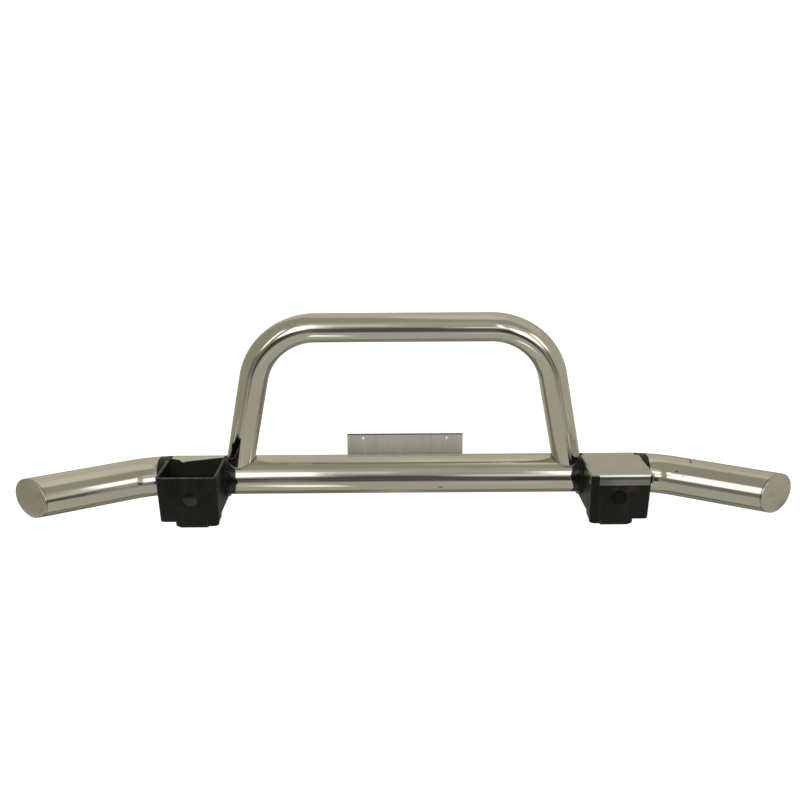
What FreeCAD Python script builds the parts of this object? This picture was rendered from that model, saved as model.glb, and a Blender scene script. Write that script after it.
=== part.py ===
# Front grille guard ("nudge bar") for a light truck, all sizes in millimetres.
#
# A 76 mm main tube runs across the vehicle, both ends swept back and cut on a
# mitre.  A 54 mm hoop stands on it and leans back a little.  Two folded steel
# box brackets, one each side, are coped round the main tube, welded to it and
# bolt to the chassis rails.  A lift-off cover plate closes the right bracket.
# A sheet bracket for the number plate is screwed to the front of the main tube.
#
# Frame: +X is the vehicle's right-hand side, +Y is forward (away from the
# vehicle), +Z is up.  Z = 0 is the lowest edge of the two brackets.
import FreeCAD, Part
import Sketcher
import math
import os

from FreeCAD import Vector, Placement, Rotation

doc = FreeCAD.newDocument("front_grille_guard")

# ---------------------------------------------------------------- dimensions
sheet = doc.addObject("Spreadsheet::Sheet", "dims")
DIMS = [
    # the frame
    ("axis_y", 46.58, "main tube axis, distance forward of the origin"),
    ("axis_z", 63.6, "main tube axis, height above the lowest edge"),
    # main tube
    ("tube_rad", 38.0, "main tube outer radius (76 mm tube)"),
    ("tube_wall", 2.0, "main tube wall"),
    ("bend_x", 486.0, "vertex of each wing bend from the centre line"),
    ("bend_rad", 180.0, "centre-line radius of the wing bends"),
    ("sweep", 30.0, "wing sweep angle, degrees"),
    ("wing_len", 232.5, "bend vertex to the middle of the end face"),
    ("mitre", 58.0, "direction of the end face's normal, degrees from X"),
    ("cap_thick", 2.5, "end cap plate"),
    ("rod_extra", 70.0, "spare length of the envelope beyond the end face"),
    # hoop
    ("hoop_rad", 27.0, "hoop tube outer radius (54 mm tube)"),
    ("hoop_wall", 2.0, "hoop tube wall"),
    ("hoop_foot", 324.2, "leg axis at the main tube axis, from the centre line"),
    ("hoop_splay", 12.1, "inward slope of each leg, degrees"),
    ("hoop_lean", 7.5, "backward lean of the hoop, degrees"),
    ("hoop_rise", 302.9, "main tube axis to the top bar's axis, along the lean"),
    ("hoop_bend", 122.0, "centre-line radius of the hoop bends"),
    # weld beads
    ("bead", 4.2, "size of the weld beads round the hoop legs"),
    ("bead_wide", 4.6, "size of the weld beads at the brackets"),
    # brackets
    ("box_in", 345.0, "outer face of the inboard side wall"),
    ("box_out", 457.0, "outer face of the outboard side wall at the rim"),
    ("box_taper", 4.0, "outboard wall leans in by this over its height"),
    ("box_back", 118.0, "outer face of the mounting wall behind the axis"),
    ("box_top", 38.0, "rim, level with the crest of the main tube"),
    ("box_low", 57.0, "lower edge of the mounting wall below the axis"),
    ("plate", 5.0, "bracket plate"),
    ("box_bend", 10.0, "outside radius of the bracket's upright bends"),
    ("side_low", 44.0, "lower edge of the side walls at the tube"),
    ("out_low", 48.0, "lower edge of the outboard half"),
    ("tongue_in", 366.0, "turned-in lip, inboard end"),
    ("tongue_out", 423.0, "turned-in lip, outboard end"),
    ("tongue_low", 63.6, "underside of the turned-in lip"),
    ("tongue_end", 84.0, "forward edge of the turned-in lip behind the axis"),
    ("tongue_bend", 12.0, "outside radius of the lip's bend"),
    ("relief", 2.4, "bend relief slot"),
    ("hole_x", 396.0, "mounting hole from the centre line"),
    ("hole_z", 5.5, "mounting hole below the tube axis"),
    ("hole_rad", 14.0, "mounting hole radius"),
    ("floor_top", 38.0, "floor plate's upper face below the axis"),
    ("floor_front", 4.0, "floor plate's forward edge"),
    # cover plate
    ("lid_gap", 0.2, "running clearance of the lift-off cover"),
    ("lid_plate", 1.8, "cover plate sheet"),
    ("lid_bend", 3.0, "outside radius of the cover's folds"),
    ("lid_back", 12.0, "cover's forward edge behind the axis"),
    ("lid_low", 19.0, "lower edge of the cover's lips above the axis"),
    ("lip_in", 358.2, "rear lip, inboard end"),
    ("lip_out", 451.0, "rear lip, outboard end"),
    ("lip_start", 50.0, "side lips' forward end behind the axis"),
    ("lip_end", 112.0, "side lips' rear end behind the axis"),
    # number plate bracket
    ("np_half", 115.0, "half width of the number plate bracket"),
    ("np_shift", 3.3, "plate and its two holes, off the centre line"),
    ("np_top", 69.3, "upper edge above the axis"),
    ("np_low", 34.0, "lower edge below the axis"),
    ("np_sheet", 1.5, "sheet thickness"),
    ("np_hole_x", 83.0, "number plate hole from the plate's middle"),
    ("np_hole_z", 59.7, "number plate hole above the axis"),
    ("np_hole_rad", 1.8, "number plate hole radius"),
    ("screw_x", 60.0, "fixing screw from the centre line"),
    ("nut_flange", 1.5, "rivet nut flange thickness"),
    ("nut_rad", 4.5, "rivet nut body radius"),
    ("screw_rad", 3.0, "M6 screw shank radius"),
    ("washer_rad", 6.0, "M6 washer radius"),
    ("washer_thick", 1.6, "M6 washer thickness"),
]
for i, (alias, value, note) in enumerate(DIMS, start=1):
    sheet.set("A%d" % i, alias)
    sheet.set("B%d" % i, str(value))
    sheet.set("C%d" % i, note)
    sheet.setAlias("B%d" % i, alias)
doc.recompute()


def num(expr):
    """Value of an expression over the sheet's cells."""
    value = sheet.evalExpression(expr)
    return float(getattr(value, "Value", value))


D = "dims."


# ------------------------------------------------------------------- helpers
def place(obj):
    """The main tube's axis is the local X axis of every body and primitive."""
    obj.setExpression("Placement.Base.y", "dims.axis_y")
    obj.setExpression("Placement.Base.z", "dims.axis_z")


def body(name):
    b = doc.addObject("PartDesign::Body", name)
    b.Label = name
    return b


def plane(b, role):
    return [f for f in b.Origin.OriginFeatures if f.Role == role][0]


def sketch(b, name, role, offset=None):
    sk = b.newObject("Sketcher::SketchObject", name)
    sk.AttachmentSupport = [(plane(b, role), "")]
    sk.MapMode = "FlatFace"
    if offset is not None:
        sk.setExpression("AttachmentOffset.Base.z", offset)
    return sk


def fix(sk, geo, pos, ex, ey, tag):
    i = sk.addConstraint(Sketcher.Constraint("DistanceX", geo, pos, num(ex)))
    sk.renameConstraint(i, "x_" + tag)
    sk.setExpression("Constraints.x_" + tag, ex)
    i = sk.addConstraint(Sketcher.Constraint("DistanceY", geo, pos, num(ey)))
    sk.renameConstraint(i, "y_" + tag)
    sk.setExpression("Constraints.y_" + tag, ey)


def polygon(sk, pts, tag="p"):
    """Closed outline; every corner is held by two expressions."""
    v = [Vector(num(a), num(c), 0) for a, c in pts]
    n = len(v)
    first = sk.GeometryCount
    for k in range(n):
        sk.addGeometry(Part.LineSegment(v[k], v[(k + 1) % n]), False)
    for k in range(n):
        sk.addConstraint(Sketcher.Constraint(
            "Coincident", first + k, 2, first + (k + 1) % n, 1))
    for k in range(n):
        fix(sk, first + k, 1, pts[k][0], pts[k][1], "%s%d" % (tag, k))


def circle(sk, ex, ey, er, tag="c"):
    g = sk.addGeometry(Part.Circle(Vector(num(ex), num(ey), 0),
                                   Vector(0, 0, 1), num(er)), False)
    i = sk.addConstraint(Sketcher.Constraint("Radius", g, num(er)))
    sk.renameConstraint(i, "r_" + tag)
    sk.setExpression("Constraints.r_" + tag, er)
    fix(sk, g, 3, ex, ey, tag)


def pad(b, sk, name, length, reverse=False):
    f = b.newObject("PartDesign::Pad", name)
    f.Profile = sk
    f.setExpression("Length", length)
    f.Reversed = reverse
    sk.Visibility = False
    return f


def pocket(b, sk, name, length):
    """Cut along the sketch's normal, on whichever side the material lies."""
    doc.recompute()
    before = b.Shape.Volume
    f = b.newObject("PartDesign::Pocket", name)
    f.Profile = sk
    f.setExpression("Length", length)
    for way in (False, True):
        f.Reversed = way
        doc.recompute()
        if f.isValid() and b.Shape.Volume < before - 1.0:
            return f
    raise RuntimeError("%s cuts nothing from %s" % (name, b.Name))


def edges_at(shape, points, tol=0.05):
    """Names of the edges that pass through the given points."""
    names = []
    for p in points:
        v = Part.Vertex(p)
        best = min(range(len(shape.Edges)),
                   key=lambda k: shape.Edges[k].distToShape(v)[0])
        if shape.Edges[best].distToShape(v)[0] > tol:
            raise RuntimeError("no edge at %s" % p)
        names.append("Edge%d" % (best + 1))
    return names


def fillet(b, base, name, points, radius):
    doc.recompute()
    f = b.newObject("PartDesign::Fillet", name)
    f.Base = (base, edges_at(base.Shape, points))
    f.setExpression("Radius", radius)
    doc.recompute()
    return f


def box(name, x, y, z, lx, ly, lz):
    """Box from expressions in the local frame (tube axis at y = z = 0)."""
    o = doc.addObject("Part::Box", name)
    o.Label = name
    o.setExpression("Length", lx)
    o.setExpression("Width", ly)
    o.setExpression("Height", lz)
    o.setExpression("Placement.Base.x", x)
    o.setExpression("Placement.Base.y", "dims.axis_y + (%s)" % y)
    o.setExpression("Placement.Base.z", "dims.axis_z + (%s)" % z)
    return o


def cut(name, base, tool):
    o = doc.addObject("Part::Cut", name)
    o.Label = name
    o.Base = base
    o.Tool = tool
    return o


def common(name, base, tool):
    o = doc.addObject("Part::Common", name)
    o.Label = name
    o.Base = base
    o.Tool = tool
    return o


def mirror(name, source):
    """The opposite-hand copy, across the vehicle's centre plane."""
    o = doc.addObject("Part::Mirroring", name)
    o.Label = name
    o.Source = source
    o.Base = Vector(0, 0, 0)
    o.Normal = Vector(1, 0, 0)
    return o


# ------------------------------------------- bent tubes from runs and bends
AXES = Placement(Vector(0, num("dims.axis_y"), num("dims.axis_z")), Rotation())
LEAN = AXES.multiply(Placement(Vector(0, 0, 0),
                               Rotation(Vector(1, 0, 0), num("dims.hoop_lean"))))


def run_of(name, frame, rad, length, base, way):
    """Straight run of round bar or bore: base point and direction in `frame`."""
    o = doc.addObject("Part::Cylinder", name)
    o.setExpression("Radius", rad)
    o.setExpression("Height", length)
    o.Placement = frame.multiply(Placement(base, Rotation(Vector(0, 0, 1), way)))
    return o


def bend_of(name, frame, rad, bend, angle, centre, turn):
    """Bend of round bar or bore: an arc of a torus, `turn` sets where it starts."""
    o = doc.addObject("Part::Torus", name)
    o.setExpression("Radius1", bend)
    o.setExpression("Radius2", rad)
    o.setExpression("Angle3", angle)
    o.Placement = frame.multiply(Placement(centre, turn))
    return o


def fuse(name, parts):
    o = doc.addObject("Part::MultiFuse", name)
    o.Shapes = parts
    o.Refine = True
    return o


SW = "dims.sweep * 1 deg"
T_MAIN = "(dims.bend_rad * tan(%s / 2))" % SW


def main_run(name, rad, length):
    """Main tube's envelope at one radius: centre run, two bends, two wings."""
    half = num("dims.bend_x - %s" % T_MAIN)
    a = math.radians(num("dims.sweep"))
    tan_x = num("dims.bend_x") + num(T_MAIN) * math.cos(a)
    tan_y = -num(T_MAIN) * math.sin(a)
    centre = run_of(name + "_centre", AXES, rad, "2 * (dims.bend_x - %s)" % T_MAIN,
                    Vector(-half, 0, 0), Vector(1, 0, 0))
    bend = bend_of(name + "_bend", AXES, rad, "dims.bend_rad", "dims.sweep",
                   Vector(half, -num("dims.bend_rad"), 0),
                   Rotation(Vector(0, 0, 1), 90 - num("dims.sweep")))
    wing = run_of(name + "_wing", AXES, rad, "(%s) - %s" % (length, T_MAIN),
                  Vector(tan_x, tan_y, 0), Vector(math.cos(a), -math.sin(a), 0))
    return fuse(name, [centre, bend, wing, mirror(name + "_bend_l", bend),
                       mirror(name + "_wing_l", wing)])


MI = "dims.mitre * 1 deg"
END_X = "(dims.bend_x + dims.wing_len * cos(%s))" % SW
END_Y = "(-dims.wing_len * sin(%s))" % SW


def mitre_box(name, start, length):
    """Slab across the right end, square to the end face's normal."""
    m = math.radians(num("dims.mitre"))
    n = Vector(math.cos(m), -math.sin(m), 0)
    along = Vector(math.sin(m), math.cos(m), 0)
    corner = (Vector(num(END_X), num(END_Y), 0) + n * num(start) - along * 120
              - Vector(0, 0, 60))
    o = doc.addObject("Part::Box", name)
    o.setExpression("Length", length)
    o.setExpression("Width", "240")
    o.setExpression("Height", "120")
    o.Placement = AXES.multiply(Placement(corner, Rotation(Vector(0, 0, 1),
                                                           -num("dims.mitre"))))
    return o


LONG = "dims.wing_len + dims.rod_extra"
rod = main_run("main_envelope", "dims.tube_rad", LONG)
fat = main_run("bead_envelope", "dims.tube_rad + dims.bead_wide", LONG)
bore = main_run("main_bore", "dims.tube_rad - dims.tube_wall", LONG + " + 5")
beyond = mitre_box("beyond_mitre", "-dims.cap_thick", "150")
nut_hole = run_of("nut_hole", AXES, "dims.nut_rad", "20",
                  Vector(num("dims.screw_x"), num("dims.tube_rad") - 10, 0), Vector(0, 1, 0))
tube_cutters = fuse("main_tube_cutters", [bore, beyond, mirror("beyond_mitre_l", beyond),
                                          nut_hole, mirror("nut_hole_l", nut_hole)])
main_tube = cut("main_tube", rod, tube_cutters)

# end caps: the last slice of the tube's envelope, ground flush all round
slab = mitre_box("cap_slab", "-dims.cap_thick", "dims.cap_thick")
end_cap_right = common("end_cap_right", rod, slab)
end_cap_left = mirror("end_cap_left", end_cap_right)

# --------------------------------------------------------------------- hoop
SP = "dims.hoop_splay * 1 deg"
T_HOOP = "(dims.hoop_bend * tan((90 deg - %s) / 2))" % SP
TOP_X = "(dims.hoop_foot - dims.hoop_rise * tan(%s))" % SP


def hoop_run(name, rad, start="0"):
    """Hoop's envelope at one radius, from inside the main tube up and over."""
    half = num("%s - %s" % (TOP_X, T_HOOP))
    s = math.radians(num("dims.hoop_splay"))
    rise = num("dims.hoop_rise")
    up = Vector(-math.sin(s), 0, math.cos(s))
    top = run_of(name + "_top", LEAN, rad, "2 * (%s - %s)" % (TOP_X, T_HOOP),
                 Vector(-half, 0, rise), Vector(1, 0, 0))
    bend = bend_of(name + "_bend", LEAN, rad, "dims.hoop_bend", "90 - dims.hoop_splay",
                   Vector(half, 0, rise - num("dims.hoop_bend")),
                   Rotation(Vector(1, 0, 0), 90).multiply(
                       Rotation(Vector(0, 0, 1), num("dims.hoop_splay"))))
    leg = run_of(name + "_leg", LEAN, rad,
                 "dims.hoop_rise / cos(%s) - %s - (%s)" % (SP, T_HOOP, start),
                 Vector(num("dims.hoop_foot"), 0, 0) + up * num(start), up)
    return fuse(name, [top, bend, leg, mirror(name + "_bend_l", bend),
                       mirror(name + "_leg_l", leg)])


hoop_env = hoop_run("hoop_envelope", "dims.hoop_rad")
hoop_bore = hoop_run("hoop_bore", "dims.hoop_rad - dims.hoop_wall", "-8")
# hollow, and both feet coped to the main tube
hoop_tube = cut("hoop_tube", hoop_env, fuse("hoop_cutters", [hoop_bore, rod]))

# weld bead round each foot: inside a collar on the leg and a sleeve on the tube
collar = doc.addObject("Part::Cylinder", "leg_collar")
collar.setExpression("Radius", "dims.hoop_rad + dims.bead")
collar.setExpression("Height", "90")
lean = Rotation(Vector(1, 0, 0), num("dims.hoop_lean"))
splay = Rotation(Vector(0, 1, 0), -num("dims.hoop_splay"))
collar.Placement = Placement(Vector(num("dims.hoop_foot"), num("dims.axis_y"),
                                    num("dims.axis_z")), lean.multiply(splay))
sleeve = doc.addObject("Part::Cylinder", "tube_sleeve")
sleeve.setExpression("Radius", "dims.tube_rad + dims.bead")
sleeve.setExpression("Height", "70")
sleeve.Placement = Placement(Vector(num("dims.box_in") - 2.5 - 70, num("dims.axis_y"),
                                    num("dims.axis_z")), Rotation(Vector(0, 1, 0), 90))
bead_block = common("hoop_bead_block", collar, sleeve)
bead_less_tube = cut("hoop_bead_less_tube", bead_block, rod)
hoop_weld_right = cut("hoop_weld_right", bead_less_tube, hoop_env)
hoop_weld_left = mirror("hoop_weld_left", hoop_weld_right)

# ----------------------------------------------------------------- brackets
shell = body("shell_uncoped")
# outline of the box from behind: the outboard wall leans in towards the bottom
drop = "(dims.box_top + dims.box_low)"
sk = sketch(shell, "box_outline", "XZ_Plane")
polygon(sk, [("dims.box_in", "dims.box_top"), ("dims.box_out", "dims.box_top"),
             ("dims.box_out - dims.box_taper", "-dims.box_low"),
             ("dims.box_in", "-dims.box_low")])
doc.recompute()
f = pad(shell, sk, "box_block", "dims.box_back + 3", True)
doc.recompute()
bb = shell.Shape.BoundBox
if bb.YMax > 1:
    f.Reversed = False
    doc.recompute()
# the block starts 3 mm forward of the axis
sk.setExpression("AttachmentOffset.Base.z", "-3")
doc.recompute()
zb = num("-dims.box_back")
f = fillet(shell, shell.Tip, "upright_bends",
           [Vector(num("dims.box_in"), zb, 0),
            Vector(num("dims.box_out - dims.box_taper * dims.box_top / %s" % drop), zb, 0)],
           "dims.box_bend")
sk = sketch(shell, "box_inside", "XZ_Plane", "-10")
polygon(sk, [("dims.box_in + dims.plate", "dims.box_top + 5"),
             ("dims.box_out - dims.plate + 5 * dims.box_taper / %s" % drop, "dims.box_top + 5"),
             ("dims.box_out - dims.plate - dims.box_taper - 20 * dims.box_taper / %s" % drop,
              "-dims.box_low - 20"),
             ("dims.box_in + dims.plate", "-dims.box_low - 20")])
doc.recompute()
v0 = shell.Shape.Volume
k = shell.newObject("PartDesign::Pocket", "box_inside_cut")
k.Profile = sk
k.setExpression("Length", "dims.box_back - dims.plate + 10")
doc.recompute()
if not (abs(shell.Shape.BoundBox.YMin - zb) < 0.01 and shell.Shape.Volume < v0 * 0.5):
    k.Reversed = not k.Reversed
    doc.recompute()
zi = num("-dims.box_back + dims.plate")
f = fillet(shell, shell.Tip, "upright_bends_inside",
           [Vector(num("dims.box_in + dims.plate"), zi, 0),
            Vector(num("dims.box_out - dims.plate - dims.box_taper * dims.box_top / %s" % drop),
                   zi, 0)],
           "dims.box_bend - dims.plate")

# lower edges, seen from the side: inboard wall and its stepped hem
sk = sketch(shell, "inboard_hem", "YZ_Plane", "dims.box_in - 5")
polygon(sk, [("20", "-dims.side_low"), ("-82", "-dims.side_low - 1"),
             ("-84", "-51"), ("-106", "-53"), ("-111", "-58"), ("20", "-58")])
pocket(shell, sk, "inboard_hem_cut", "40")
# outboard half: shallower all the way round the corner
sk = sketch(shell, "outboard_hem", "YZ_Plane", "dims.box_out + 10")
polygon(sk, [("20", "-dims.side_low"), ("-60", "-dims.side_low"),
             ("-84", "-dims.out_low"), ("-130", "-dims.out_low"),
             ("-130", "-70"), ("20", "-70")])
pocket(shell, sk, "outboard_hem_cut", "dims.box_out + 10 - dims.tongue_out")
# feather edges where the side walls meet the crest of the tube
sk = sketch(shell, "crest_trim", "YZ_Plane", "dims.box_in - 5")
polygon(sk, [("-9", "-20"), ("20", "-20"), ("20", "50"), ("-9", "50")])
pocket(shell, sk, "crest_trim_cut", "140")
# the mounting wall stops where the turned-in lip's bend starts, with a bend
# relief slot beside it
sk = sketch(shell, "lip_clearance", "XZ_Plane", "dims.box_back - 20")
polygon(sk, [("dims.tongue_in - dims.relief", "-80"), ("dims.tongue_in - dims.relief", "-49"),
             ("dims.tongue_in", "-49"), ("dims.tongue_in", "dims.tongue_bend - dims.tongue_low"),
             ("dims.tongue_out + 3", "dims.tongue_bend - dims.tongue_low"),
             ("dims.tongue_out + 3", "-80")])
pocket(shell, sk, "lip_clearance_cut", "40")
# the mounting hole
sk = sketch(shell, "mount_hole", "XZ_Plane", "dims.box_back - 20")
circle(sk, "dims.hole_x", "-dims.hole_z", "dims.hole_rad")
doc.recompute()
v0 = shell.Shape.Volume
pocket(shell, sk, "mount_hole_cut", "40")
lost = v0 - shell.Shape.Volume
want = math.pi * num("dims.hole_rad") ** 2 * num("dims.plate")
if abs(lost - want) > 1:
    raise RuntimeError("mounting hole removed %.1f, not %.1f" % (lost, want))
place(shell)

# turned-in lip at the bottom of the mounting wall: a quarter bend and a flange
BEND_Y = num("dims.tongue_bend - dims.box_back")
BEND_Z = num("dims.tongue_bend - dims.tongue_low")


def quarter(name, rad, spare):
    o = doc.addObject("Part::Cylinder", name)
    o.setExpression("Radius", rad)
    o.setExpression("Height", "dims.tongue_out - dims.tongue_in + %s" % spare)
    o.Angle = 90
    # local X -> -Z, local Y -> -Y ... the arc runs from the wall to the underside
    turn = Rotation(Vector(0, 0, -1), Vector(0, -1, 0), Vector(-1, 0, 0), "ZXY")
    o.Placement = AXES.multiply(Placement(
        Vector(num("dims.tongue_out + (%s) / 2" % spare), BEND_Y, BEND_Z), turn))
    return o


lip_bend = cut("lip_bend", quarter("lip_bend_outer", "dims.tongue_bend", "0"),
               quarter("lip_bend_inner", "dims.tongue_bend - dims.plate", "2"))
lip_flange = box("lip_flange", "dims.tongue_in", "dims.tongue_bend - dims.box_back",
                 "-dims.tongue_low", "dims.tongue_out - dims.tongue_in",
                 "dims.box_back - dims.tongue_bend - dims.tongue_end", "dims.plate")
shell_full = fuse("shell_with_lip", [shell, lip_bend, lip_flange])
# cropped corner of the lip
crop = body("lip_corner")
sk = sketch(crop, "lip_corner_outline", "XZ_Plane", "70")
polygon(sk, [("dims.tongue_out - 6.5", "-66"), ("dims.tongue_out + 2", "-66"),
             ("dims.tongue_out + 2", "-53.5"), ("dims.tongue_out", "-55.5"),
             ("dims.tongue_out - 6.5", "-60.5")])
doc.recompute()
f = pad(crop, sk, "lip_corner_block", "60")
doc.recompute()
if crop.Shape.BoundBox.YMin > -100:
    f.Reversed = True
    doc.recompute()
place(crop)
shell_cropped = cut("shell_cropped", shell_full, crop)
doc.recompute()
bracket_shell_right = cut("bracket_shell_right", shell_cropped, rod)   # coped round the tube
bracket_shell_left = mirror("bracket_shell_left", bracket_shell_right)

floor_blank = box("bracket_floor_blank", "dims.box_in + dims.plate",
                  "-dims.box_back + dims.plate", "-dims.side_low",
                  "dims.box_out - dims.box_in - 2 * dims.plate",
                  "dims.box_back - dims.plate + dims.floor_front",
                  "dims.side_low - dims.floor_top")
wall_clear = box("floor_wall_clearance", "dims.box_out - dims.plate - dims.box_taper + 0.6",
                 "-dims.box_back - 1", "-dims.side_low - 1", "20",
                 "dims.box_back + dims.floor_front + 3", "10")
floor_trim = cut("bracket_floor_trimmed", floor_blank, wall_clear)
floor_right = cut("bracket_floor_right", floor_trim, bracket_shell_right)
floor_left = mirror("bracket_floor_left", floor_right)

# weld beads where the side walls close on the main tube
slice_in = box("bead_slice_inboard", "dims.box_in - dims.bead_wide", "-60", "-dims.side_low",
               "dims.bead_wide", "60", "dims.side_low + 36")
bead_in_raw = common("bead_inboard_block", fat, slice_in)
bead_in_a = cut("bead_inboard_less_tube", bead_in_raw, rod)
bead_in_b = cut("bead_inboard_less_leg", bead_in_a, hoop_env)
weld_in_right = cut("bracket_weld_inboard_right", bead_in_b, hoop_weld_right)
weld_in_left = mirror("bracket_weld_inboard_left", weld_in_right)

slice_out = body("bead_slice_outboard")
LEAN_X = "dims.box_out - dims.box_taper * (dims.box_top - (%s)) / " + drop
sk = sketch(slice_out, "bead_slice_outline", "XZ_Plane")
polygon(sk, [(LEAN_X % "36", "36"), (LEAN_X % "36" + " + dims.bead_wide", "36"),
             (LEAN_X % "-dims.side_low" + " + dims.bead_wide", "-dims.side_low"),
             (LEAN_X % "-dims.side_low", "-dims.side_low")])
doc.recompute()
f = pad(slice_out, sk, "bead_slice_block", "60", True)
doc.recompute()
if slice_out.Shape.BoundBox.YMax > 1:
    f.Reversed = False
    doc.recompute()
place(slice_out)
doc.recompute()
bead_out_raw = common("bead_outboard_block", fat, slice_out)
weld_out_right = cut("bracket_weld_outboard_right", bead_out_raw, rod)
weld_out_left = mirror("bracket_weld_outboard_left", weld_out_right)

# fillet run along the floor's forward edge, under the tube
run = body("floor_bead_run")
sk = sketch(run, "floor_bead_section", "YZ_Plane", "dims.box_in + dims.plate + 1")
polygon(sk, [("dims.floor_front", "-dims.side_low"), ("dims.floor_front + 1.5", "-dims.side_low"),
             ("dims.floor_front + 8", "-36"), ("dims.floor_front", "-36")])
pad(run, sk, "floor_bead", "dims.box_out - dims.box_in - 2 * dims.plate - dims.box_taper - 2")
place(run)
floor_weld_right = cut("floor_weld_right", run, rod)
floor_weld_left = mirror("floor_weld_left", floor_weld_right)

# -------------------------------------------------------------- cover plate
lid = body("cover_plate")
g, th = "dims.lid_gap", "dims.lid_plate"
sk = sketch(lid, "cover_outline", "XY_Plane", "dims.lid_low")
polygon(sk, [("dims.box_in - %s - %s" % (g, th), "-dims.lid_back"),
             ("dims.box_out + %s + %s" % (g, th), "-dims.lid_back"),
             ("dims.box_out + %s + %s" % (g, th), "-dims.box_back - %s - %s" % (g, th)),
             ("dims.box_in - %s - %s" % (g, th), "-dims.box_back - %s - %s" % (g, th))])
pad(lid, sk, "cover_block", "dims.box_top + %s + %s - dims.lid_low" % (g, th))
doc.recompute()
zt = num("dims.box_top + %s + %s" % (g, th))
xa = num("dims.box_in - %s - %s" % (g, th))
xb = num("dims.box_out + %s + %s" % (g, th))
yr = num("-dims.box_back - %s - %s" % (g, th))
f = fillet(lid, lid.Tip, "cover_folds",
           [Vector((xa + xb) / 2, yr, zt), Vector(xa, -60, zt), Vector(xb, -60, zt)],
           "dims.lid_bend")
sk = sketch(lid, "cover_inside", "XY_Plane", "dims.lid_low - 5")
polygon(sk, [("dims.box_in - %s" % g, "0"), ("dims.box_out + %s" % g, "0"),
             ("dims.box_out + %s" % g, "-dims.box_back - %s" % g),
             ("dims.box_in - %s" % g, "-dims.box_back - %s" % g)])
doc.recompute()
v0 = lid.Shape.Volume
k = lid.newObject("PartDesign::Pocket", "cover_inside_cut")
k.Profile = sk
k.setExpression("Length", "dims.box_top + %s - dims.lid_low + 5" % g)
doc.recompute()
if not (lid.Shape.Volume < v0 * 0.5):
    k.Reversed = not k.Reversed
    doc.recompute()
# corner reliefs, and the side lips end short of the weld beads
low = "dims.lid_low - 2"
up = "dims.box_top + %s - dims.lid_bend + %s" % (g, th)
for side, pts in (
        ("in", [("dims.box_in - 4", "-dims.lip_end"), ("dims.lip_in", "-dims.lip_end"),
                ("dims.lip_in", "-dims.box_back - 5"), ("dims.box_in - 4", "-dims.box_back - 5")]),
        ("out", [("dims.lip_out", "-dims.lip_end"), ("dims.box_out + 4", "-dims.lip_end"),
                 ("dims.box_out + 4", "-dims.box_back - 5"), ("dims.lip_out", "-dims.box_back - 5")])):
    sk = sketch(lid, "corner_%s" % side, "XY_Plane", low)
    polygon(sk, pts)
    doc.recompute()
    v0 = lid.Shape.Volume
    k = lid.newObject("PartDesign::Pocket", "corner_%s_cut" % side)
    k.Profile = sk
    k.setExpression("Length", "%s - (%s)" % (up, low))
    doc.recompute()
    if not lid.Shape.Volume < v0 - 1:
        k.Reversed = not k.Reversed
        doc.recompute()
sk = sketch(lid, "side_lip_ends", "YZ_Plane", "dims.box_in - 10")
polygon(sk, [("-dims.lip_start - 8", "dims.lid_low - 2"), ("-dims.lid_back + 2", "dims.lid_low - 2"),
             ("-dims.lid_back + 2", up), ("-dims.lip_start", up)])
pocket(lid, sk, "side_lip_ends_cut", "140")
place(lid)
cover_plate = lid

# ---------------------------------------------------- number plate bracket
npb = body("number_plate_bracket")
sk = sketch(npb, "plate_outline", "XZ_Plane", "-(dims.tube_rad + dims.nut_flange)")
NL, NR = "dims.np_shift - dims.np_half", "dims.np_shift + dims.np_half"
polygon(sk, [(NL, "-dims.np_low"), (NR, "-dims.np_low"), (NR, "dims.np_top"), (NL, "dims.np_top")])
circle(sk, "dims.np_shift + dims.np_hole_x", "dims.np_hole_z", "dims.np_hole_rad", "na")
circle(sk, "dims.np_shift - dims.np_hole_x", "dims.np_hole_z", "dims.np_hole_rad", "nb")
circle(sk, "dims.screw_x", "0", "dims.screw_rad + 0.3", "sa")
circle(sk, "-dims.screw_x", "0", "dims.screw_rad + 0.3", "sb")
f = pad(npb, sk, "plate_sheet", "dims.np_sheet", True)
place(npb)
doc.recompute()
want = num("dims.axis_y + dims.tube_rad + dims.nut_flange")
if npb.Shape.BoundBox.YMin < want - 0.01:
    f.Reversed = False
    doc.recompute()
number_plate_bracket = npb


def turned(name, profile):
    """Piece turned about the screw axis: (radius, forward distance) pairs."""
    b = body(name)
    s = sketch(b, name + "_section", "XY_Plane")
    polygon(s, [("dims.screw_x + (%s)" % r, y) for r, y in profile])
    axis = s.addGeometry(Part.LineSegment(Vector(num("dims.screw_x"), 0, 0),
                                          Vector(num("dims.screw_x"), 60, 0)), True)
    fix(s, axis, 1, "dims.screw_x", "0", "axa")
    fix(s, axis, 2, "dims.screw_x", "60", "axb")
    doc.recompute()
    r = b.newObject("PartDesign::Revolution", name + "_turn")
    r.Profile = s
    r.ReferenceAxis = (s, ["Axis0"])
    r.Angle = 360.0
    place(b)
    doc.recompute()
    return b


def pair(name, one):
    other = mirror(name + "_other", one)
    c = doc.addObject("Part::Compound", name)
    c.Label = name
    c.Links = [one, other]
    return c


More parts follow.
